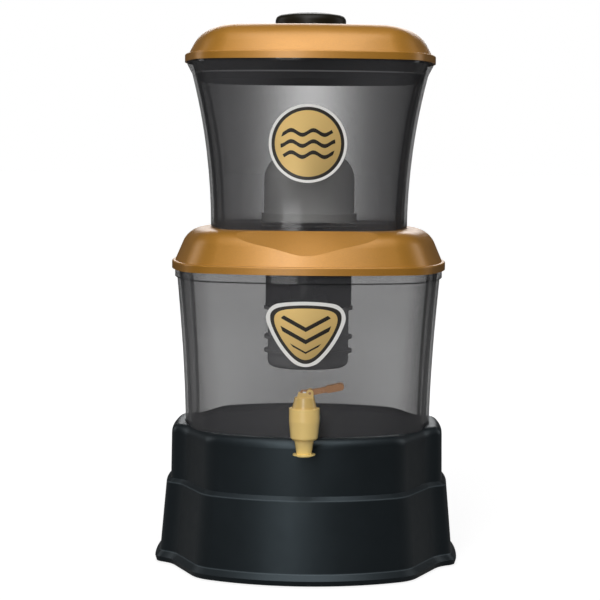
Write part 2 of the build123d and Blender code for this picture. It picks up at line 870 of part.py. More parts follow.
with BuildPart() as tap_nut:
    with BuildSketch(Plane.XZ.offset(tap_inside - tap_washer - tap_nut_height)):
        with Locations((0, tap_height)):
            RegularPolygon(tap_nut_flats / 2, 6, major_radius=False)
            Circle(shank_radius + running_clearance, mode=Mode.SUBTRACT)
    extrude(amount=tap_nut_height)

# Thin ring around the nozzle's end
ring_low = nozzle_end + spout_ring_up
ring_top = ring_low + spout_ring_height
nozzle_slope = (nozzle_top_radius - nozzle_end_radius) / nozzle_length
ring_low_bore = nozzle_end_radius + nozzle_slope * (ring_low - nozzle_end)
ring_top_bore = nozzle_end_radius + nozzle_slope * (ring_top - nozzle_end)
with BuildPart() as spout_ring:
    with BuildSketch(tap_plane):
        with BuildLine():
            Polyline(
                (ring_low_bore, ring_low),
                (spout_ring_radius, ring_low),
                (spout_ring_radius, ring_top),
                (ring_top_bore, ring_top),
                close=True,
            )
        make_face()
    revolve(axis=tap_line)

# Bonnet: plug in the barrel, tapered cap and two cheeks that hold the lever pin
bonnet_top = barrel_top + bonnet_height
plug_bottom = barrel_top - bonnet_plug
pivot_height = bonnet_top + pivot_above_bonnet
ear_offset = lever_hub_width / 2 + lever_hub_gap
ear_edge = pivot_x + ear_radius
ear_root = barrel_top + bonnet_height / 2
seal_low = barrel_top - stem_seal_height
with BuildPart() as tap_bonnet:
    with BuildSketch(tap_plane):
        with BuildLine():
            Polyline(
                (stem_radius + running_clearance, plug_bottom),
                (chamber_radius - running_clearance, plug_bottom),
                (chamber_radius - running_clearance, barrel_top),
                (bonnet_low_radius, barrel_top),
                (bonnet_top_radius, bonnet_top),
                (stem_radius + running_clearance, bonnet_top),
                (stem_radius + running_clearance, seal_low + stem_seal_height),
                (stem_seal_radius, seal_low + stem_seal_height),
                (stem_seal_radius, seal_low),
                (stem_radius + running_clearance, seal_low),
                close=True,
            )
        make_face()
    revolve(axis=tap_line)
    for side in (-1, 1):
        with BuildSketch(Plane.XZ.offset(tap_axis + side * ear_offset)):
            with Locations((pivot_x, pivot_height)):
                Circle(ear_radius)
            with BuildLine():
                Polyline(
                    (-ear_edge, ear_root),
                    (ear_edge, ear_root),
                    (ear_edge, pivot_height),
                    (-ear_reach, pivot_height),
                    close=True,
                )
            make_face()
        extrude(amount=side * ear_thickness)
    with BuildSketch(Plane.XZ.offset(tap_axis - ear_offset - ear_thickness)):
        with Locations((pivot_x, pivot_height)):
            Circle(pin_radius)
    extrude(amount=2 * (ear_offset + ear_thickness), mode=Mode.SUBTRACT)

# Lever pin across the ears
with BuildPart() as lever_pin:
    with BuildSketch(Plane.XZ.offset(tap_axis - ear_offset - ear_thickness)):
        with Locations((pivot_x, pivot_height)):
            Circle(pin_radius)
    extrude(amount=2 * (ear_offset + ear_thickness))

# Seal ring around the stem, in the bonnet's groove
with BuildPart() as stem_seal:
    with BuildSketch(Plane.XY.offset(seal_low)):
        with Locations((0, -tap_axis)):
            Circle(stem_seal_radius)
            Circle(stem_radius + running_clearance, mode=Mode.SUBTRACT)
    extrude(amount=stem_seal_height)

# Lever: hub between the ears, forked tail at the stem and a raised paddle
lever_plane = Plane.XZ.offset(tap_axis)
with BuildPart() as tap_lever:
    with BuildSketch(lever_plane):
        with Locations((pivot_x, pivot_height)):
            Circle(ear_radius)
        with Locations(((pivot_x - lever_tail) / 2, pivot_height)):
            SlotCenterToCenter(pivot_x + lever_tail, lever_height)
    extrude(amount=lever_hub_width / 2, both=True)
    with BuildSketch(lever_plane):
        with Locations(Location((pivot_x, pivot_height), lever_rest_angle)):
            with Locations((lever_length / 2, 0)):
                SlotOverall(lever_length, lever_height)
    extrude(amount=lever_hub_width / 2, both=True)
    with BuildSketch(lever_plane):
        with Locations(Location((pivot_x, pivot_height), lever_rest_angle)):
            with Locations(((lever_length + lever_paddle_start) / 2, 0)):
                SlotOverall(lever_length - lever_paddle_start, lever_paddle_height)
    extrude(amount=lever_width / 2, both=True)
    with BuildSketch(lever_plane):
        with Locations((pivot_x - fork_root - lever_length / 2, pivot_height)):
            Rectangle(lever_length, ear_radius * 4)
    extrude(amount=fork_slot / 2, both=True, mode=Mode.SUBTRACT)
    with BuildSketch(lever_plane):
        with Locations((0, pivot_height)):
            SlotCenterToCenter(2 * stem_pin_travel, 2 * (stem_pin_radius + pin_slot_clearance))
        with Locations((pivot_x, pivot_height)):
            Circle(pin_radius + running_clearance)
    extrude(amount=lever_hub_width / 2, both=True, mode=Mode.SUBTRACT)

# Stem: round rod from the valve with a flat top for its pin
valve_top = valve_seat + valve_height
stem_bottom = valve_top - stem_socket
stem_top = pivot_height + stem_above_pin
with BuildPart() as tap_stem:
    with BuildSketch(Plane.XY.offset(stem_bottom)):
        with Locations((0, -tap_axis)):
            Circle(stem_radius)
    extrude(amount=bonnet_top - stem_bottom)
    with BuildSketch(Plane.XY.offset(bonnet_top)):
        with Locations((0, -tap_axis)):
            Rectangle(stem_blade_width, stem_blade_thickness)
    extrude(amount=stem_top - bonnet_top)
    with BuildSketch(lever_plane):
        with Locations((0, pivot_height)):
            Circle(stem_pin_radius)
    extrude(amount=stem_blade_thickness / 2, both=True, mode=Mode.SUBTRACT)

with BuildPart() as stem_pin:
    with BuildSketch(lever_plane):
        with Locations((0, pivot_height)):
            Circle(stem_pin_radius)
    extrude(amount=lever_hub_width / 2, both=True)

# Silicone valve on the seat
with BuildPart() as tap_valve:
    with BuildSketch(Plane.XY.offset(valve_seat)):
        with Locations((0, -tap_axis)):
            Circle(valve_radius)
    extrude(amount=valve_height)
    with BuildSketch(Plane.XY.offset(stem_bottom)):
        with Locations((0, -tap_axis)):
            Circle(stem_radius)
    extrude(amount=stem_socket, mode=Mode.SUBTRACT)

# Closing spring between the valve and the bonnet's plug
spring_low = valve_top + spring_wire
spring_length = plug_bottom - valve_top - 2 * spring_wire
with BuildPart() as tap_spring:
    with BuildLine():
        coil = Helix(
            spring_length / spring_turns,
            spring_length,
            spring_radius,
            center=(0, -tap_axis, spring_low),
        )
    with BuildSketch(coil ^ 0):
        Circle(spring_wire)
    sweep(path=coil, is_frenet=True)

# Round label on the front of the upper tank
with BuildPart() as round_label:
    loft(sections=upper_plans(upper_bottom, upper_top, -label_gap - label_film))
    loft(sections=upper_plans(upper_bottom, upper_top, -label_gap), mode=Mode.SUBTRACT)
    with BuildSketch(Plane.XZ):
        with Locations((0, upper_bottom + round_label_rise)):
            Circle(round_label_radius)
    extrude(amount=upper_top_half * 2, mode=Mode.INTERSECT)

# Shield label on the front of the lower tank: a rounded triangle with its tip down
tap_boss_top = tap_height + tap_boss_radius
shield_middle = (tap_boss_top + lower_top - lower_rim_height) / 2 + shield_offset
shield_top = shield_middle + shield_height / 2
shield_tip = shield_middle - shield_height / 2
shield_side = math.hypot(shield_reach, shield_height)
shield_crown = shield_top + shield_crown_bow
bulge_x = shield_reach / 2 + shield_side_bow * shield_height / shield_side
bulge_z = (shield_top + shield_tip) / 2 - shield_side_bow * shield_reach / shield_side
with BuildPart() as shield_label:
    loft(sections=lower_plans(lower_bottom, lower_top, -label_gap - label_film))
    loft(sections=lower_plans(lower_bottom, lower_top, -label_gap), mode=Mode.SUBTRACT)
    with BuildSketch(Plane.XZ) as shield:
        with BuildLine():
            ThreePointArc((-shield_reach, shield_top), (0, shield_crown), (shield_reach, shield_top))
            ThreePointArc((shield_reach, shield_top), (bulge_x, bulge_z), (0, shield_tip))
            ThreePointArc((0, shield_tip), (-bulge_x, bulge_z), (-shield_reach, shield_top))
        make_face()
        fillet(shield.vertices().sort_by(Axis.Y)[-2:], min(shield_corner_radius, shield_reach / 2))
        fillet(shield.vertices().sort_by(Axis.Y)[0], min(shield_tip_radius, shield_reach / 2))
    extrude(amount=lower_top_half * 2, mode=Mode.INTERSECT)

# Every piece under its own name, moved so that the footprint, tap included, is centred on the origin
pieces = {
    "stand": stand,
    "stand_feet": stand_feet,
    "lower_tank": lower_tank,
    "lower_tank_floor": lower_tank_floor,
    "shield_label": shield_label,
    "tap_body": tap_body,
    "tap_outer_washer": tap_outer_washer,
    "tap_inner_washer": tap_inner_washer,
    "tap_nut": tap_nut,
    "spout_ring": spout_ring,
    "tap_bonnet": tap_bonnet,
    "lever_pin": lever_pin,
    "stem_seal": stem_seal,
    "tap_spring": tap_spring,
    "tap_lever": tap_lever,
    "tap_stem": tap_stem,
    "stem_pin": stem_pin,
    "tap_valve": tap_valve,
    "cover_seal": cover_seal,
    "mid_cover": mid_cover,
    "cartridge_gasket": cartridge_gasket,
    "cartridge_ring": cartridge_ring,
    "cartridge_head": cartridge_head,
    "cartridge_sleeve": cartridge_sleeve,
    "cartridge_cup": cartridge_cup,
    "filter_pads": filter_pads,
    "upper_tank": upper_tank,
    "round_label": round_label,
    "ceramic_seal": ceramic_seal,
    "ceramic_base": ceramic_base,
    "ceramic_dome": ceramic_dome,
    "ceramic_nut": ceramic_nut,
    "lid_collar": lid_collar,
    "upper_lid": upper_lid,
    "lid_knob": lid_knob,
    "knob_washer": knob_washer,
    "knob_screw": knob_screw,
    **beds,
}
os.makedirs("parts", exist_ok=True)
footprint_shift = Location((0, (tap_axis + barrel_top_radius - lip_half) / 2, 0))
for name, piece in pieces.items():
    placed = piece.part.moved(footprint_shift)
    placed.label = name
    export_step(placed, f"parts/{name}.step")
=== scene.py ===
import json
import math

import bmesh
import bpy
from mathutils import Matrix, Vector


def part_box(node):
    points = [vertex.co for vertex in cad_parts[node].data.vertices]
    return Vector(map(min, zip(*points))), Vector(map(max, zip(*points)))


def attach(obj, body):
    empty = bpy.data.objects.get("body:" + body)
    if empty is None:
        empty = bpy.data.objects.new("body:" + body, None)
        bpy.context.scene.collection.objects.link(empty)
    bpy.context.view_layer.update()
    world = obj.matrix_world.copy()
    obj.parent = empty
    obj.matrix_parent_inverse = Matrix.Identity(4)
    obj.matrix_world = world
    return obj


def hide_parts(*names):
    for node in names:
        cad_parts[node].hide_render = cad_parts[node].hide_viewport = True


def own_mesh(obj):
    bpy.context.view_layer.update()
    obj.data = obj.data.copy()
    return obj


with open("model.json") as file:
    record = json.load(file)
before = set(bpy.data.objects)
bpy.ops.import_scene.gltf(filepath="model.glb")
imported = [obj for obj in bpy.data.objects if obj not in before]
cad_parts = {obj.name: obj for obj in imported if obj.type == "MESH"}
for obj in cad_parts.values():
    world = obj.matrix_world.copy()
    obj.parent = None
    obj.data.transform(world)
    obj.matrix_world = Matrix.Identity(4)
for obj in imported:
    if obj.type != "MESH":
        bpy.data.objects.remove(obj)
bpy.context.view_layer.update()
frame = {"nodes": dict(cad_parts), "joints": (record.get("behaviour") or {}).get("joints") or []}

bl_info = {
    "name": "Gravity water purifier",
    "version": (1, 0, 0),
    "blender": (4, 5, 0),
    "location": "View3D > Sidebar > Purifier",
    "description": "Finishes for a stacked gravity water purifier and its studio stage",
    "category": "Object",
}


class PurifierFinish(bpy.types.PropertyGroup):
    """Colours and sizes of the purifier's finishes."""

    stand_colour: bpy.props.FloatVectorProperty(
        name="Stand colour", description="Moulded black of the stand",
        default=(0.0068, 0.0088, 0.0102), size=3, min=0, max=1, subtype="COLOR")
    gold_colour: bpy.props.FloatVectorProperty(
        name="Lid gold", description="Satin gold of the lid and the middle cover",
        default=(0.45, 0.203, 0.022), size=3, min=0, max=1, subtype="COLOR")
    smoke_colour: bpy.props.FloatVectorProperty(
        name="Smoke tint", description="Grey of the clear tanks",
        default=(0.05, 0.05, 0.053), size=3, min=0, max=1, subtype="COLOR")
    tap_colour: bpy.props.FloatVectorProperty(
        name="Tap gold", description="Moulded gold of the tap",
        default=(1.0, 0.69, 0.24), size=3, min=0, max=1, subtype="COLOR")
    lever_colour: bpy.props.FloatVectorProperty(
        name="Lever bronze", description="Bronze brown of the tap lever",
        default=(0.3, 0.15, 0.07), size=3, min=0, max=1, subtype="COLOR")
    # Painted highlight: pale colour of the thin lines painted along the stand's mouldings, where their
    # edges catch the light
    edge_highlight_colour: bpy.props.FloatVectorProperty(
        name="Stand edge", description="Pale worn edge along the stand's mouldings",
        default=(0.034, 0.042, 0.047), size=3, min=0, max=1, subtype="COLOR")
    label_gold: bpy.props.FloatVectorProperty(
        name="Label gold", description="Foil gold of both labels",
        default=(0.8, 0.55, 0.2), size=3, min=0, max=1, subtype="COLOR")
    label_dark: bpy.props.FloatVectorProperty(
        name="Label dark", description="Dark print of both labels",
        default=(0.02, 0.016, 0.012), size=3, min=0, max=1, subtype="COLOR")
    label_white: bpy.props.FloatVectorProperty(
        name="Label border", description="Pale border of both labels",
        default=(0.86, 0.85, 0.82), size=3, min=0, max=1, subtype="COLOR")
    thread_pitch: bpy.props.FloatProperty(
        name="Thread pitch", description="Distance between the ridges of the screwed pieces",
        default=0.002, min=0.001, max=0.005, unit="LENGTH")
    thread_height: bpy.props.FloatProperty(
        name="Thread height", description="How far a ridge stands out",
        default=0.00045, min=0.0001, max=0.001, unit="LENGTH")


class PurifierStage(bpy.types.PropertyGroup):
    """Camera and light of the studio stage."""

    camera_distance: bpy.props.FloatProperty(
        name="Camera distance", description="From the stand's middle",
        default=1.9, min=0.5, max=10, unit="LENGTH")
    camera_height: bpy.props.FloatProperty(
        name="Camera height", description="Above the table",
        default=0.4085, min=0, max=3, unit="LENGTH")
    camera_side: bpy.props.FloatProperty(
        name="Camera side angle", description="Angle of the camera to the right of straight ahead",
        default=math.radians(1.0), subtype="ANGLE")
    camera_turn: bpy.props.FloatProperty(
        name="Camera turn", description="Turn of the view to the left of the stand's middle",
        default=math.radians(0.253), subtype="ANGLE")
    camera_pitch: bpy.props.FloatProperty(
        name="Camera pitch", description="Downward tilt of the view",
        default=math.radians(4.51), subtype="ANGLE")
    camera_roll: bpy.props.FloatProperty(
        name="Camera roll", description="Lean of the view",
        default=math.radians(0.5), subtype="ANGLE")
    camera_lens: bpy.props.FloatProperty(
        name="Lens", description="Focal length on a 36 mm sensor",
        default=114.0, min=10, max=300, unit="CAMERA")
    front_power: bpy.props.FloatProperty(
        name="Front light", description="Power of the broad light beside the camera",
        default=25.0, min=0, max=500, unit="POWER")
    top_power: bpy.props.FloatProperty(
        name="Top light", description="Power of the light overhead",
        default=20.0, min=0, max=500, unit="POWER")
    back_power: bpy.props.FloatProperty(
        name="Back light", description="Power of the light high behind the purifier",
        default=14.0, min=0, max=500, unit="POWER")
    side_power: bpy.props.FloatProperty(
        name="Side lights", description="Power of each light beside the purifier",
        default=5.5, min=0, max=500, unit="POWER")
    sky_strength: bpy.props.FloatProperty(
        name="Room light", description="Strength of the even room light",
        default=0.035, min=0, max=5)
    floor_glow: bpy.props.FloatProperty(
        name="Floor brightness", description="How far the floor is lifted towards white",
        default=0.86, min=0, max=5)


def finish_values():
    """Colours and sizes set for the finishes."""
    return bpy.context.scene.purifier_finish


def stage_values():
    """Values set for the stage."""
    return bpy.context.scene.purifier_stage


# Places of the factor, the two colours and the result among the sockets of a Mix node set to colour
COLOUR_MIX_INPUTS = (0, 6, 7)
COLOUR_MIX_RESULT = 2


class Recipe:
    """A material's node tree with the few calls that every finish here uses."""

    def __init__(self, name):
        self.material = bpy.data.materials.new(name)
        self.material.use_nodes = True
        self.tree = self.material.node_tree
        self.shader = self.tree.nodes["Principled BSDF"]
        self.place = self.tree.nodes.new("ShaderNodeTexCoord").outputs["Object"]

    def feed(self, socket, value):
        """Links an output to a socket, or sets the socket to a number or a colour."""
        if isinstance(value, bpy.types.NodeSocket):
            self.tree.links.new(value, socket)
        elif hasattr(value, "__len__"):
            socket.default_value = (*value, 1.0)
        else:
            socket.default_value = value

    def set(self, **values):
        """Constants on the shader's own sockets; an underscore stands for a space."""
        for name, value in values.items():
            self.feed(self.shader.inputs[name.replace("_", " ")], value)

    def join(self, output, name):
        """Links an output to one of the shader's sockets."""
        self.tree.links.new(output, self.shader.inputs[name])

    def joined(self, name):
        """The output that one of the shader's sockets is linked to."""
        return self.shader.inputs[name].links[0].from_socket

    def node(self, kind, **links):
        """A node with its named inputs set to a value or linked to an output."""
        made = self.tree.nodes.new(kind)
        for name, value in links.items():
            self.feed(made.inputs[name.replace("_", " ")], value)
        return made

    def math(self, operation, *values):
        """Result of a math node."""
        made = self.tree.nodes.new("ShaderNodeMath")
        made.operation = operation
        for socket, value in zip(made.inputs, values):
            self.feed(socket, value)
        return made.outputs[0]

    def noise(self, scale, detail=3.0, place=None):
        """Cloudy values between 0 and 1."""
        made = self.node("ShaderNodeTexNoise", Vector=place or self.place, Scale=scale, Detail=detail)
        return made.outputs["Fac"]

    def stretch(self, scale):
        """Object coordinates scaled by axis."""
        made = self.node("ShaderNodeMapping", Vector=self.place)
        made.inputs["Scale"].default_value = scale
        return made.outputs["Vector"]

    def cells(self, scale, output="Distance"):
        """Cells round scattered points: distance from the point, or a colour for each cell."""
        made = self.node("ShaderNodeTexVoronoi", Vector=self.place, Scale=scale)
        return made.outputs[output]

    def spread(self, value, low, high, start=0.0, end=1.0, smooth=False):
        """A value between start and end carried to the range from low to high."""
        made = self.node("ShaderNodeMapRange", Value=value)
        made.interpolation_type = "SMOOTHSTEP" if smooth else "LINEAR"
        made.inputs["From Min"].default_value = start
        made.inputs["From Max"].default_value = end
        made.inputs["To Min"].default_value = low
        made.inputs["To Max"].default_value = high
        return made.outputs["Result"]

    def ramp(self, value, *stops):
        """Colours along a value."""
        made = self.node("ShaderNodeValToRGB", Fac=value)
        elements = made.color_ramp.elements
        while len(elements) < len(stops):
            elements.new(1.0)
        for element, (position, colour) in zip(elements, stops):
            element.position = position
            element.color = (*colour, 1.0)
        return made.outputs["Color"]

    def mix(self, factor, first, second):
        """Two colours mixed by a factor."""
        made = self.tree.nodes.new("ShaderNodeMix")
        made.data_type = "RGBA"
        for index, value in zip(COLOUR_MIX_INPUTS, (factor, first, second)):
            self.feed(made.inputs[index], value)
        return made.outputs[COLOUR_MIX_RESULT]

    def paint(self, value, *stops):
        """Base colour along a value."""
        self.join(self.ramp(value, *stops), "Base Color")

    def mottle(self, value, colour, dark, light):
        """Base colour that varies between a darker and a lighter shade of one colour."""
        self.paint(value, (0.3, shade(colour, dark)), (0.7, shade(colour, light)))

    def over(self, factor, colour):
        """Lays a colour over the base colour where a factor is 1."""
        self.join(self.mix(factor, self.joined("Base Color"), colour), "Base Color")

    def dull(self, value, low, high):
        """Roughness along a value from 0 to 1."""
        self.join(self.spread(value, low, high), "Roughness")

    def bump(self, height, strength, distance):
        """Small relief of the surface."""
        made = self.node("ShaderNodeBump", Height=height, Strength=strength, Distance=distance)
        self.join(made.outputs["Normal"], "Normal")

    def axes(self):
        """Object coordinates by axis."""
        return self.node("ShaderNodeSeparateXYZ", Vector=self.place).outputs

    def apart(self, value, middle):
        """Distance of a coordinate from a middle, on either side."""
        return self.math("ABSOLUTE", self.math("SUBTRACT", value, middle))

    def length(self, right, above):
        """Length of a step to the right and up."""
        squares = (self.math("MULTIPLY", step, step) for step in (right, above))
        return self.math("SQRT", self.math("ADD", *squares))

    def edge_on(self):
        """0 where a clear wall faces the eye and 1 where it is seen edge on."""
        return self.node("ShaderNodeLayerWeight", Blend=0.5).outputs["Facing"]


def shade(colour, factor):
    """A colour made lighter or darker."""
    return tuple(min(1.0, c * factor) for c in colour)


def dress(recipe, *nodes):
    """Puts a finish on CAD nodes."""
    for name in nodes:
        piece = frame["nodes"][name]
        if not piece.material_slots:
            piece.data.materials.append(recipe.material)
        for slot in piece.material_slots:
            slot.material = recipe.material


def moulded(name, colour, roughness, coat=0.0, gloss=0.5, tint=(1.0, 1.0, 1.0)):
    """Moulded plastic: slight cloudiness, uneven gloss and a fine grain."""
    cloud_scale, patch_scale, grain_scale = 14.0, 60.0, 1800.0
    grain_strength, grain_depth = 0.06, 0.0002
    smoother, rougher = 0.05, 0.07
    recipe = Recipe(name)
    recipe.set(IOR=1.47, Coat_Weight=coat, Coat_Roughness=0.15)
    recipe.set(Specular_IOR_Level=gloss, Specular_Tint=tint)
    recipe.mottle(recipe.noise(cloud_scale), colour, dark=0.88, light=1.1)
    recipe.dull(recipe.noise(patch_scale), roughness - smoother, roughness + rougher)
    recipe.bump(recipe.noise(grain_scale, detail=2.0), grain_strength, grain_depth)
    return recipe


def satin_gold(name, colour):
    """Satin metallic paint: fine flakes, soft sheen and a thin clear coat."""
    flake_scale, cloud_scale, patch_scale, grain_scale = 2600.0, 9.0, 45.0, 2200.0
    grain_strength, grain_depth = 0.05, 0.0002
    recipe = Recipe(name)
    recipe.set(Metallic=0.4, IOR=1.5, Coat_Weight=0.5, Coat_Roughness=0.3)
    flakes = recipe.cells(flake_scale, "Color")
    tone = recipe.ramp(flakes, (0.2, shade(colour, 0.9)), (0.8, shade(colour, 1.12)))
    cloud = recipe.spread(recipe.noise(cloud_scale), low=0.0, high=0.3)
    recipe.join(recipe.mix(cloud, tone, shade(colour, 0.82)), "Base Color")
    recipe.dull(recipe.noise(patch_scale), low=0.4, high=0.52)
    recipe.bump(recipe.noise(grain_scale, detail=2.0), grain_strength, grain_depth)
    return recipe


def smoke(name, colour, node, wall, clear_low, clear_high, foot_depth=0.0):
    """Clear tinted plastic, darker where a wall is seen edge on, with painted light in its density: painted
    paler in the middle of each wall, painted shade towards its corners, changing with height and denser in
    a band at its foot.
    """
    pale_reach, foot_height = 0.75, 0.016
    edge_power, edge_depth, densest = 3.5, 0.55, 0.96
    cloud_scale, patch_scale = 12.0, 25.0
    recipe = Recipe(name)
    recipe.set(IOR=1.5, Specular_IOR_Level=0.4)
    low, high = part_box(node)
    centre, half = (low + high) / 2, (high - low) / 2
    axes = recipe.axes()
    across, along = recipe.apart(axes["X"], centre.x), recipe.apart(axes["Y"], centre.y)
    # Painted light: density lowered towards the middle of each wall and raised towards its corners, painted
    # shade for dark surroundings reflected in the sides
    off_middle = recipe.math("MINIMUM", across, along)
    middle = recipe.spread(off_middle, 1.0, 0.0, 0.0, pale_reach * half.x, smooth=True)
    # Painted light: density changing from bottom to top between clear_low and clear_high, and raised in a
    # band at the foot
    clear = recipe.spread(axes["Z"], clear_low - wall, clear_high - wall, low.z, high.z)
    foot = recipe.spread(axes["Z"], foot_depth, 0.0, low.z, low.z + foot_height)
    face_on = recipe.math("ADD", recipe.math("MULTIPLY_ADD", clear, middle, wall), foot)
    edge = recipe.math("MULTIPLY", recipe.math("POWER", recipe.edge_on(), edge_power), edge_depth)
    recipe.join(recipe.math("MINIMUM", recipe.math("ADD", face_on, edge), densest), "Alpha")
    recipe.mottle(recipe.noise(cloud_scale), colour, dark=0.9, light=1.1)
    recipe.dull(recipe.noise(patch_scale), low=0.07, high=0.13)
    return recipe


def corner_lines(recipe, node, floor_node, half_low, rim_proud, flare):
    """Dark upright lines beside a clear tank's rounded corners, where its flared walls are seen edge on."""
    inset, half_line, depth = 0.0085, 0.0012, 0.26
    fade_start, fade_end = 0.35, 0.65
    low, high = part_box(node)
    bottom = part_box(floor_node)[0].z
    centre = (low + high) / 2
    half_high = high.x - centre.x - rim_proud
    axes = recipe.axes()
    bulge = recipe.math("POWER", recipe.spread(axes["Z"], 0.0, 1.0, bottom, high.z), flare)
    line_at = recipe.math("MULTIPLY_ADD", bulge, half_high - half_low, half_low - inset)
    lines = [recipe.math("COMPARE", recipe.apart(axes[axis], middle), line_at, half_line)
             for axis, middle in (("X", centre.x), ("Y", centre.y))]
    strength = recipe.spread(recipe.edge_on(), 0.0, depth, fade_start, fade_end)
    below = recipe.joined("Alpha")
    recipe.join(recipe.math("MULTIPLY_ADD", recipe.math("MAXIMUM", *lines), strength, below), "Alpha")


def rim_line(recipe, node, drop, colour, half_line):
    """A line at the lower edge of a clear tank's rim, denser than the wall, with a painted colour standing
    in for how that edge catches light or falls into shade.
    """
    density = 0.7
    line = recipe.math("COMPARE", recipe.axes()["Z"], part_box(node)[1].z - drop, half_line)
    dense = recipe.math("MULTIPLY", line, density)
    recipe.join(recipe.math("MAXIMUM", recipe.joined("Alpha"), dense), "Alpha")
    recipe.over(line, colour)


def granules(name, dark, light, scale):
    """Loose granules, each with its own tone and a rounded face."""
    relief, depth = 0.9, 0.001
    recipe = Recipe(name)
    recipe.set(Roughness=0.8)
    recipe.paint(recipe.cells(scale, "Color"), (0.1, dark), (0.9, light))
    recipe.bump(recipe.math("SUBTRACT", 1.0, recipe.cells(scale)), relief, depth)
    return recipe


def rubber(name, colour):
    """Soft rubber or silicone with a dull, slightly mottled face."""
    cloud_scale, patch_scale, grain_scale = 90.0, 200.0, 900.0
    grain_strength, grain_depth = 0.12, 0.0003
    recipe = Recipe(name)
    recipe.set(IOR=1.42, Specular_IOR_Level=0.35)
    recipe.mottle(recipe.noise(cloud_scale), colour, dark=0.85, light=1.1)
    recipe.dull(recipe.noise(patch_scale), low=0.6, high=0.8)
    recipe.bump(recipe.noise(grain_scale), grain_strength, grain_depth)
    return recipe


def brushed_steel(name):
    """Drawn steel with fine lines along its length."""
    across_scale, along_scale = 2600.0, 120.0
    line_strength, line_depth = 0.08, 0.0001
    recipe = Recipe(name)
    recipe.set(Metallic=1.0)
    drawn = recipe.stretch((across_scale, across_scale, along_scale))
    lines = recipe.noise(1.0, detail=4.0, place=drawn)
    recipe.paint(lines, (0.2, (0.5, 0.5, 0.51)), (0.8, (0.68, 0.68, 0.69)))
    recipe.dull(lines, low=0.22, high=0.38)
    recipe.bump(lines, line_strength, line_depth)
    return recipe


def fired_ceramic(name):
    """Porous fired ceramic, chalky with small pores."""
    cloud_scale, patch_scale, pore_scale = 40.0, 120.0, 1400.0
    pore_strength, pore_depth = 0.35, 0.0004
    recipe = Recipe(name)
    recipe.set(Specular_IOR_Level=0.25)
    chalk = recipe.noise(cloud_scale, detail=5.0)
    recipe.paint(chalk, (0.3, (0.86, 0.86, 0.85)), (0.7, (0.95, 0.95, 0.94)))
    recipe.dull(recipe.noise(patch_scale), low=0.8, high=0.95)
    recipe.bump(recipe.cells(pore_scale), pore_strength, pore_depth)
    return recipe


def felt(name):
    """White needle felt."""
    fibre_scale, fibre_strength, fibre_depth = 700.0, 0.6, 0.0006
    recipe = Recipe(name)
    recipe.set(Sheen_Weight=0.4, Specular_IOR_Level=0.1, Roughness=0.95)
    fibres = recipe.noise(fibre_scale, detail=6.0, place=recipe.stretch((1.0, 1.0, 3.0)))
    recipe.paint(fibres, (0.3, (0.62, 0.62, 0.6)), (0.7, (0.85, 0.85, 0.82)))
    recipe.bump(fibres, fibre_strength, fibre_depth)
    return recipe


def label_sheen(recipe):
    """Film gloss shared by the labels."""
    patch_scale, grain_scale = 300.0, 2500.0
    grain_strength, grain_depth = 0.03, 0.0001
    recipe.set(IOR=1.5, Coat_Weight=0.3, Coat_Roughness=0.12)
    recipe.dull(recipe.noise(patch_scale), low=0.26, high=0.36)
    recipe.bump(recipe.noise(grain_scale, detail=1.0), grain_strength, grain_depth)


def label_place(recipe, node):
    """Distances to the right of and above the middle of a label, and its half size."""
    low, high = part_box(node)
    axes = recipe.axes()
    right = recipe.math("SUBTRACT", axes["X"], (low.x + high.x) / 2)
    above = recipe.math("SUBTRACT", axes["Z"], (low.z + high.z) / 2)
    return right, above, (high - low) / 2


def foil(recipe, above, reach, gold):
    """Gold foil with a painted sheen: darker towards the bottom and lighter towards the top."""
    rise = recipe.spread(above, 0.0, 1.0, -reach, reach)
    return recipe.ramp(rise, (0.0, shade(gold, 0.72)), (0.55, gold), (1.0, shade(gold, 1.25)))


def framed_print(recipe, motif, gold, outwards, band_at, border_at):
    """Foil with a dark motif, a dark band and a pale border, by how far out a point of the label lies."""
    foil_metal = 0.45
    values = finish_values()
    banded = recipe.math("GREATER_THAN", outwards, band_at)
    bordered = recipe.math("GREATER_THAN", outwards, border_at)
    field = recipe.mix(motif, gold, values.label_dark)
    ringed = recipe.mix(banded, field, values.label_dark)
    recipe.join(recipe.mix(bordered, ringed, values.label_white), "Base Color")
    recipe.join(recipe.spread(banded, foil_metal, 0.0), "Metallic")
    label_sheen(recipe)


def round_label_print(name):
    """Round label: pale border, dark ring and gold foil with three waves."""
    wave_length, wave_rise = 0.021, 0.0022
    stripe_gap, stripe_half, motif_half = 0.0052, 0.0019, 0.0135
    motif_reach, ring_start, border_start = 0.7, 0.845, 0.93
    recipe = Recipe(name)
    right, above, half = label_place(recipe, "round_label")
    share = recipe.math("DIVIDE", recipe.length(right, above), half.x)
    swing = recipe.math("SINE", recipe.math("MULTIPLY", right, 2 * math.pi / wave_length))
    crest = recipe.math("SUBTRACT", above, recipe.math("MULTIPLY", swing, wave_rise))
    stripe = recipe.math("LESS_THAN", recipe.math("PINGPONG", crest, stripe_gap), stripe_half)
    near = recipe.math("LESS_THAN", recipe.math("ABSOLUTE", crest), motif_half)
    inside = recipe.math("LESS_THAN", share, motif_reach)
    motif = recipe.math("MULTIPLY", stripe, recipe.math("MULTIPLY", near, inside))
    gold = foil(recipe, above, half.z, finish_values().label_gold)
    framed_print(recipe, motif, gold, share, ring_start, border_start)
    return recipe


def beyond_disc(recipe, right, above, hub, radius):
    """Distance of a label's point beyond a disc, negative inside it."""
    off_x = recipe.math("SUBTRACT", right, hub[0])
    off_z = recipe.math("SUBTRACT", above, hub[1])
    return recipe.math("SUBTRACT", recipe.length(off_x, off_z), radius)


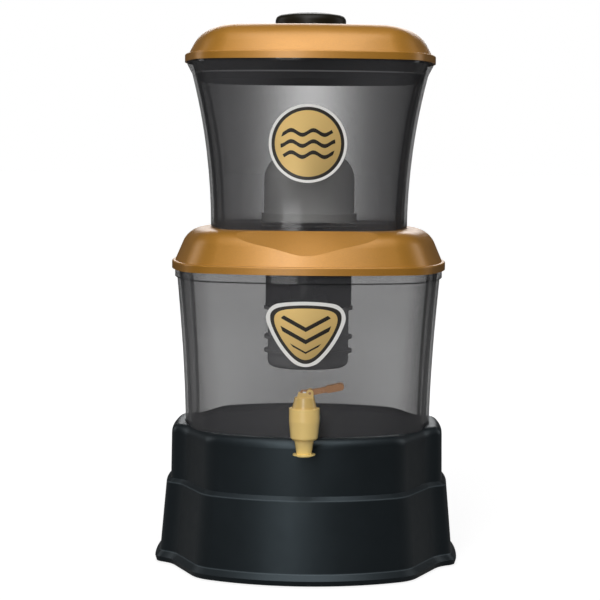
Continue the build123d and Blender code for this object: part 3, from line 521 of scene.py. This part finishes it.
def shield_label_print(name):
    """Shield label: pale border, dark band and gold foil with chevrons."""
    reach, drop, crown_bow, side_bow, rounding = 0.0403, 0.0625, 0.0048, 0.008, 0.021
    chevron_slope, chevron_gap, chevron_half = 0.55, 0.0058, 0.0021
    chevron_start, motif_sink, motif_half = 0.1, 0.006, 0.0125
    motif_inset, band_inset, border_inset = 0.0105, 0.0064, 0.0034
    recipe = Recipe(name)
    right, above, half = label_place(recipe, "shield_label")
    shoulder = Vector((reach, half.z - crown_bow))
    tip = Vector((0.0, shoulder.y - drop))
    crown_radius = (reach**2 + crown_bow**2) / (2 * crown_bow)
    crown = beyond_disc(recipe, right, above, (0.0, half.z - crown_radius), crown_radius)
    chord = shoulder - tip
    side_radius = (chord.length**2 / 4 + side_bow**2) / (2 * side_bow)
    inwards = Vector((-chord.y, chord.x)).normalized()
    hub = (shoulder + tip) / 2 + inwards * (side_radius - side_bow)
    flanks = [beyond_disc(recipe, right, above, (sign * hub.x, hub.y), side_radius) for sign in (1, -1)]
    sides = recipe.math("SMOOTH_MAX", *flanks, rounding)
    edge = recipe.math("SMOOTH_MAX", sides, crown, rounding)
    slope = recipe.math("MULTIPLY", recipe.math("ABSOLUTE", right), -chevron_slope)
    rise = recipe.math("ADD", above, slope)
    fold = recipe.math("PINGPONG", recipe.math("ADD", rise, chevron_start), chevron_gap)
    stripe = recipe.math("LESS_THAN", fold, chevron_half)
    near = recipe.math("LESS_THAN", recipe.apart(rise, -motif_sink), motif_half)
    inside = recipe.math("LESS_THAN", edge, -motif_inset)
    motif = recipe.math("MULTIPLY", stripe, recipe.math("MULTIPLY", near, inside))
    gold = foil(recipe, above, half.z, finish_values().label_gold)
    framed_print(recipe, motif, gold, edge, -band_inset, -border_inset)
    return recipe


def thread_tree():
    """Geometry nodes that lay round ridges along a straight line."""
    ring_points, profile_points = 48, 6
    tree = bpy.data.node_groups.new("thread_ridges", "GeometryNodeTree")
    face = tree.interface
    face.new_socket("Geometry", in_out="OUTPUT", socket_type="NodeSocketGeometry")
    kinds = (("Start", "NodeSocketVector"), ("Finish", "NodeSocketVector"), ("Count", "NodeSocketInt"),
             ("Radius", "NodeSocketFloat"), ("Height", "NodeSocketFloat"), ("Turn", "NodeSocketRotation"),
             ("Material", "NodeSocketMaterial"))
    for name, kind in kinds:
        face.new_socket(name, in_out="INPUT", socket_type=kind)
    nodes, links = tree.nodes, tree.links
    given = nodes.new("NodeGroupInput").outputs
    line = nodes.new("GeometryNodeMeshLine")
    line.mode = "END_POINTS"
    links.new(given["Count"], line.inputs["Count"])
    links.new(given["Start"], line.inputs["Start Location"])
    links.new(given["Finish"], line.inputs["Offset"])
    ring = nodes.new("GeometryNodeCurvePrimitiveCircle")
    ring.inputs["Resolution"].default_value = ring_points
    links.new(given["Radius"], ring.inputs["Radius"])
    profile = nodes.new("GeometryNodeCurvePrimitiveCircle")
    profile.inputs["Resolution"].default_value = profile_points
    links.new(given["Height"], profile.inputs["Radius"])
    tube = nodes.new("GeometryNodeCurveToMesh")
    links.new(ring.outputs["Curve"], tube.inputs["Curve"])
    links.new(profile.outputs["Curve"], tube.inputs["Profile Curve"])
    copies = nodes.new("GeometryNodeInstanceOnPoints")
    links.new(line.outputs["Mesh"], copies.inputs["Points"])
    links.new(tube.outputs["Mesh"], copies.inputs["Instance"])
    links.new(given["Turn"], copies.inputs["Rotation"])
    real = nodes.new("GeometryNodeRealizeInstances")
    links.new(copies.outputs["Instances"], real.inputs["Geometry"])
    paint = nodes.new("GeometryNodeSetMaterial")
    links.new(real.outputs["Geometry"], paint.inputs["Geometry"])
    links.new(given["Material"], paint.inputs["Material"])
    out = nodes.new("NodeGroupOutput")
    links.new(paint.outputs["Geometry"], out.inputs["Geometry"])
    return tree


def ridges(name, body, material, start, finish, radius):
    """Thread ridges between two points, as a plain mesh on a body."""
    values = finish_values()
    tree = bpy.data.node_groups.get("thread_ridges") or thread_tree()
    start, finish = Vector(start), Vector(finish)
    span = finish - start
    holder = bpy.data.objects.new(name + "_maker", bpy.data.meshes.new(name + "_maker"))
    bpy.context.scene.collection.objects.link(holder)
    maker = holder.modifiers.new("thread", "NODES")
    maker.node_group = tree
    inputs = {
        "Start": start,
        "Finish": finish,
        "Count": max(2, int(span.length / values.thread_pitch)),
        "Radius": radius,
        "Height": values.thread_height,
        "Turn": span.to_track_quat("Z", "Y").to_euler(),
        "Material": material,
    }
    for socket in tree.interface.items_tree:
        if socket.in_out == "INPUT":
            maker[socket.identifier] = inputs[socket.name]
    shown = holder.evaluated_get(bpy.context.evaluated_depsgraph_get())
    mesh = bpy.data.meshes.new_from_object(shown)
    if not mesh.polygons:
        raise RuntimeError(f"{name} came out empty")
    holder.modifiers.remove(maker)
    bpy.data.objects.remove(holder)
    mesh.shade_smooth()
    piece = bpy.data.objects.new(name, mesh)
    bpy.context.scene.collection.objects.link(piece)
    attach(piece, body)


def slide_reach(name):
    """How far a sliding joint of the frame moves."""
    return next(joint["range_m"][1] for joint in frame["joints"] if joint["name"] == name)


def closing_spring(name, material):
    """The tap's coil spring, welded into one mesh and held by the bonnet in place of the CAD coil."""
    weld_distance, stem_rise = 1e-6, slide_reach("stem_lift")
    coil = bmesh.new()
    coil.from_mesh(frame["nodes"]["tap_spring"].data)
    bmesh.ops.remove_doubles(coil, verts=coil.verts, dist=weld_distance)
    mesh = bpy.data.meshes.new(name)
    coil.to_mesh(mesh)
    coil.free()
    mesh.shade_smooth()
    mesh.materials.append(material)
    piece = bpy.data.objects.new(name, mesh)
    bpy.context.scene.collection.objects.link(piece)
    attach(piece, "tap_bonnet")
    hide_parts("tap_spring")
    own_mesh(piece)


class PURIFIER_OT_stand(bpy.types.Operator):
    """Finish the stand and its feet"""

    bl_idname = "purifier.stand"
    bl_label = "Stand"

    def execute(self, context):
        values = finish_values()
        black = moulded("stand_black_plastic", values.stand_colour, roughness=0.41, tint=(0.72, 0.9, 1.0))
        skirt_height, lip_height, half_line = 0.0785, 0.0105, 0.0006
        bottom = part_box("stand")[0].z
        # Painted highlight: a thin pale line at the top of the skirt and at the lip, standing in for light
        # caught by their edges
        for height in (skirt_height, lip_height):
            line = black.math("COMPARE", black.axes()["Z"], bottom + height, half_line)
            black.over(line, values.edge_highlight_colour)
        dress(black, "stand")
        dress(rubber("foot_rubber", (0.03, 0.03, 0.031)), "stand_feet")
        return {"FINISHED"}


class PURIFIER_OT_tanks(bpy.types.Operator):
    """Finish the clear tanks"""

    bl_idname = "purifier.tanks"
    bl_label = "Tanks"

    def execute(self, context):
        colour = finish_values().smoke_colour
        # Painted light: the upper tank takes the smoke tint lightened by 1.35, a lit copy of the lower
        # tank's material
        upper = smoke("upper_smoke", shade(colour, 1.35), "upper_tank",
                      wall=0.57, clear_low=0.22, clear_high=0.175, foot_depth=0.3)
        corner_lines(upper, "upper_tank", "upper_tank", half_low=0.0977, rim_proud=0.0008, flare=2.1)
        # Painted highlight: a pale line where the upper tank's rim edge catches the light
        rim_line(upper, "upper_tank", drop=0.0155, colour=(0.16, 0.16, 0.165), half_line=0.0006)
        dress(upper, "upper_tank")
        # Painted light: the lower tank takes the same smoke tint lightened by 1.7
        lower = smoke("lower_smoke", shade(colour, 1.7), "lower_tank",
                      wall=0.34, clear_low=0.42, clear_high=0.33)
        corner_lines(lower, "lower_tank", "lower_tank_floor", half_low=0.1222, rim_proud=0.001, flare=1.6)
        # Painted shade: a dark line where the lower tank's rim underside is seen edge on
        rim_line(lower, "lower_tank", drop=0.0112, colour=shade(colour, 0.35), half_line=0.0007)
        dress(lower, "lower_tank", "lower_tank_floor")
        return {"FINISHED"}


class PURIFIER_OT_gold(bpy.types.Operator):
    """Finish the gold lid and the middle cover"""

    bl_idname = "purifier.gold"
    bl_label = "Gold lid and cover"

    def execute(self, context):
        dress(satin_gold("satin_gold", finish_values().gold_colour), "mid_cover", "upper_lid")
        return {"FINISHED"}


class PURIFIER_OT_lid_fittings(bpy.types.Operator):
    """Finish the knob, its screw and the collar"""

    bl_idname = "purifier.lid_fittings"
    bl_label = "Lid fittings"

    def execute(self, context):
        dress(moulded("knob_brown_black", (0.01, 0.0085, 0.005), roughness=0.4, gloss=0.2), "lid_knob")
        dress(moulded("collar_black", (0.009, 0.009, 0.01), roughness=0.45, gloss=0.2), "lid_collar")
        dress(brushed_steel("lid_steel"), "knob_washer", "knob_screw")
        return {"FINISHED"}


class PURIFIER_OT_tap(bpy.types.Operator):
    """Finish the tap, lay the thread ridges of its shank and set its spring"""

    bl_idname = "purifier.tap"
    bl_label = "Tap"

    def execute(self, context):
        values = finish_values()
        gold = moulded("tap_gold_plastic", values.tap_colour, roughness=0.3, coat=0.6, gloss=0.9)
        # Painted shade: the bonnet takes a darkened copy of the tap's gold
        bonnet_shaded_gold = shade(values.tap_colour, 0.58)
        steel = brushed_steel("tap_steel")
        dress(gold, "tap_body", "spout_ring")
        dress(moulded("bonnet_gold_plastic", bonnet_shaded_gold, roughness=0.34, coat=0.2), "tap_bonnet")
        dress(moulded("lever_bronze", values.lever_colour, roughness=0.26, coat=0.3),
              "tap_lever", "lever_pin")
        dress(rubber("tap_silicone", (0.7, 0.7, 0.67)),
              "tap_outer_washer", "tap_inner_washer", "stem_seal", "tap_valve")
        dress(steel, "tap_spring", "tap_stem", "stem_pin")
        closing_spring("closing_spring", steel.material)
        dress(moulded("tap_nut_white", (0.74, 0.74, 0.71), roughness=0.4), "tap_nut")
        nut_low, nut_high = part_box("tap_nut")
        body_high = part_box("tap_body")[1]
        middle = (nut_low + nut_high) / 2
        shank_radius, nut_gap, end_gap = 0.008, 0.001, 0.0006
        ridges("shank_ridges", "lower_tank", gold.material,
               (middle.x, nut_high.y + nut_gap, middle.z), (middle.x, body_high.y - end_gap, middle.z),
               shank_radius)
        return {"FINISHED"}


class PURIFIER_OT_ceramic(bpy.types.Operator):
    """Finish the ceramic filter and lay the thread ridges of its outlet"""

    bl_idname = "purifier.ceramic"
    bl_label = "Ceramic filter"

    def execute(self, context):
        white = moulded("filter_white_plastic", (0.72, 0.72, 0.7), roughness=0.4)
        dress(fired_ceramic("fired_ceramic"), "ceramic_dome")
        dress(white, "ceramic_base", "ceramic_nut")
        dress(rubber("filter_silicone", (0.7, 0.7, 0.67)), "ceramic_seal")
        outlet_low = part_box("ceramic_base")[0]
        nut_low, nut_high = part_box("ceramic_nut")
        middle = (nut_low + nut_high) / 2
        outlet_radius, end_gap = 0.006, 0.001
        ridges("outlet_ridges", "upper_tank", white.material,
               (middle.x, middle.y, nut_low.z - end_gap), (middle.x, middle.y, outlet_low.z + end_gap),
               outlet_radius)
        return {"FINISHED"}


class PURIFIER_OT_cartridge(bpy.types.Operator):
    """Finish the media cartridge and what it holds"""

    bl_idname = "purifier.cartridge"
    bl_label = "Media cartridge"

    def execute(self, context):
        cup_density = 0.68
        beds = (
            ("carbon", (0.008, 0.008, 0.008), (0.05, 0.05, 0.05), 450.0),
            ("zeolite", (0.35, 0.27, 0.18), (0.62, 0.53, 0.42), 400.0),
            ("silica", (0.55, 0.5, 0.4), (0.82, 0.79, 0.7), 600.0),
            ("mineral", (0.2, 0.2, 0.21), (0.6, 0.59, 0.57), 260.0),
        )
        dress(moulded("cartridge_dark", (0.012, 0.012, 0.014), roughness=0.2),
              "cartridge_head", "cartridge_ring", "cartridge_sleeve")
        dress(smoke("cartridge_smoke", (0.9, 0.9, 0.92), "cartridge_cup",
                    wall=cup_density, clear_low=cup_density, clear_high=cup_density), "cartridge_cup")
        dress(rubber("cartridge_silicone", (0.6, 0.6, 0.58)), "cartridge_gasket", "cover_seal")
        dress(felt("white_felt"), "filter_pads")
        for media, dark, light, scale in beds:
            dress(granules(media + "_granules", dark, light, scale), media + "_bed")
        return {"FINISHED"}


class PURIFIER_OT_labels(bpy.types.Operator):
    """Print the front labels"""

    bl_idname = "purifier.labels"
    bl_label = "Labels"

    def execute(self, context):
        dress(round_label_print("round_label_print"), "round_label")
        dress(shield_label_print("shield_label_print"), "shield_label")
        return {"FINISHED"}


def lay_floor(scene, near_glow):
    """A wide pale floor, lifted to plain white away from the stand."""
    near, far, reach, cloud_scale = 0.4, 1.6, 30.0, 3.0
    recipe = Recipe("pale_floor")
    recipe.set(Roughness=0.9, Specular_IOR_Level=0.1, Emission_Color=(1.0, 1.0, 1.0))
    recipe.paint(recipe.noise(cloud_scale), (0.0, (0.2, 0.2, 0.2)), (1.0, (0.23, 0.23, 0.23)))
    seen = recipe.node("ShaderNodeLightPath").outputs["Is Camera Ray"]
    span = recipe.node("ShaderNodeVectorMath", Vector=recipe.place)
    span.operation = "LENGTH"
    glow = recipe.spread(span.outputs["Value"], near_glow, 1.0, near, far, smooth=True)
    recipe.join(recipe.math("MULTIPLY", seen, glow), "Emission Strength")
    corners = [(-reach, -reach, 0), (reach, -reach, 0), (reach, reach, 0), (-reach, reach, 0)]
    sheet = bpy.data.meshes.new("floor")
    sheet.from_pydata(corners, [], [(0, 1, 2, 3)])
    sheet.materials.append(recipe.material)
    floor = bpy.data.objects.new("floor", sheet)
    scene.collection.objects.link(floor)


def light_room(scene, strength):
    """A white backdrop with a faint, even room light."""
    world = bpy.data.worlds.new("studio")
    world.use_nodes = True
    nodes, links = world.node_tree.nodes, world.node_tree.links
    backdrop = nodes["Background"]
    backdrop.inputs["Color"].default_value = (1.0, 1.0, 1.0, 1.0)
    backdrop.inputs["Strength"].default_value = 1.0
    room = nodes.new("ShaderNodeBackground")
    room.inputs["Color"].default_value = (0.95, 0.97, 1.0, 1.0)
    room.inputs["Strength"].default_value = strength
    path = nodes.new("ShaderNodeLightPath")
    choice = nodes.new("ShaderNodeMixShader")
    links.new(path.outputs["Is Camera Ray"], choice.inputs["Fac"])
    links.new(room.outputs["Background"], choice.inputs[1])
    links.new(backdrop.outputs["Background"], choice.inputs[2])
    links.new(choice.outputs["Shader"], nodes["World Output"].inputs["Surface"])
    scene.world = world


def area_light(name, power, size, place, aim):
    """A soft rectangular light aimed at a point."""
    lamp = bpy.data.lights.new(name, "AREA")
    lamp.energy = power
    lamp.shape = "RECTANGLE"
    lamp.size, lamp.size_y = size
    piece = bpy.data.objects.new(name, lamp)
    piece.location = place
    piece.rotation_euler = (aim - place).to_track_quat("-Z", "Y").to_euler()
    bpy.context.scene.collection.objects.link(piece)


def set_camera(scene, foot, values):
    """The camera in front of the purifier."""
    lens = bpy.data.cameras.new("photo_camera")
    lens.sensor_width = 36.0
    lens.lens = values.camera_lens
    camera = bpy.data.objects.new("photo_camera", lens)
    side, distance = values.camera_side, values.camera_distance
    right, back = distance * math.sin(side), -distance * math.cos(side)
    camera.location = foot + Vector((right, back, values.camera_height))
    heading = Matrix.Rotation(side + values.camera_turn, 3, "Z")
    tilt = Matrix.Rotation(math.pi / 2 - values.camera_pitch, 3, "X")
    lean = Matrix.Rotation(values.camera_roll, 3, "Z")
    camera.rotation_euler = (heading @ tilt @ lean).to_euler()
    scene.collection.objects.link(camera)
    scene.camera = camera


class PURIFIER_OT_stage(bpy.types.Operator):
    """Lay the floor, light it and set the camera"""

    bl_idname = "purifier.stage"
    bl_label = "Studio stage"

    def execute(self, context):
        aim_height = 0.27
        values = stage_values()
        scene = context.scene
        lay_floor(scene, values.floor_glow)
        light_room(scene, values.sky_strength)
        scene.view_settings.view_transform = "Standard"
        stand_low, stand_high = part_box("stand")
        foot = Vector((0.0, (stand_low.y + stand_high.y) / 2, 0.0))
        aim = foot + Vector((0.0, 0.0, aim_height))
        lamps = (
            ("front_light", values.front_power, (0.45, 2.2), (-0.36, -1.9, 1.1)),
            ("top_light", values.top_power, (1.4, 1.4), (0.0, -0.7, 1.8)),
            ("back_light", values.back_power, (1.2, 1.2), (0.0, 2.2, 1.3)),
            ("left_light", values.side_power, (0.8, 1.4), (-2.0, 0.7, 1.0)),
            ("right_light", values.side_power, (0.8, 1.4), (2.0, 0.7, 1.0)),
        )
        for name, power, size, place in lamps:
            area_light(name, power, size, foot + Vector(place), aim)
        set_camera(scene, foot, values)
        return {"FINISHED"}


class PURIFIER_PT_panel(bpy.types.Panel):
    """The purifier's pieces and stage"""

    bl_idname = "PURIFIER_PT_panel"
    bl_label = "Water purifier"
    bl_space_type = "VIEW_3D"
    bl_region_type = "UI"
    bl_category = "Purifier"

    def draw(self, context):
        for operator in OPERATORS:
            self.layout.operator(operator.bl_idname)
        for group in (context.scene.purifier_finish, context.scene.purifier_stage):
            column = self.layout.column()
            for name in group.__annotations__:
                column.prop(group, name)


OPERATORS = (
    PURIFIER_OT_stand,
    PURIFIER_OT_tanks,
    PURIFIER_OT_gold,
    PURIFIER_OT_lid_fittings,
    PURIFIER_OT_tap,
    PURIFIER_OT_ceramic,
    PURIFIER_OT_cartridge,
    PURIFIER_OT_labels,
    PURIFIER_OT_stage,
)
CLASSES = (PurifierFinish, PurifierStage, *OPERATORS, PURIFIER_PT_panel)


def register():
    for item in CLASSES:
        bpy.utils.register_class(item)
    bpy.types.Scene.purifier_finish = bpy.props.PointerProperty(type=PurifierFinish)
    bpy.types.Scene.purifier_stage = bpy.props.PointerProperty(type=PurifierStage)


def unregister():
    del bpy.types.Scene.purifier_stage
    del bpy.types.Scene.purifier_finish
    for item in reversed(CLASSES):
        bpy.utils.unregister_class(item)


def main():
    register()
    bpy.ops.purifier.stand()
    bpy.ops.purifier.tanks()
    bpy.ops.purifier.gold()
    bpy.ops.purifier.lid_fittings()
    bpy.ops.purifier.tap()
    bpy.ops.purifier.ceramic()
    bpy.ops.purifier.cartridge()
    bpy.ops.purifier.labels()
    bpy.ops.purifier.stage()


if __name__ == "__main__":
    main()
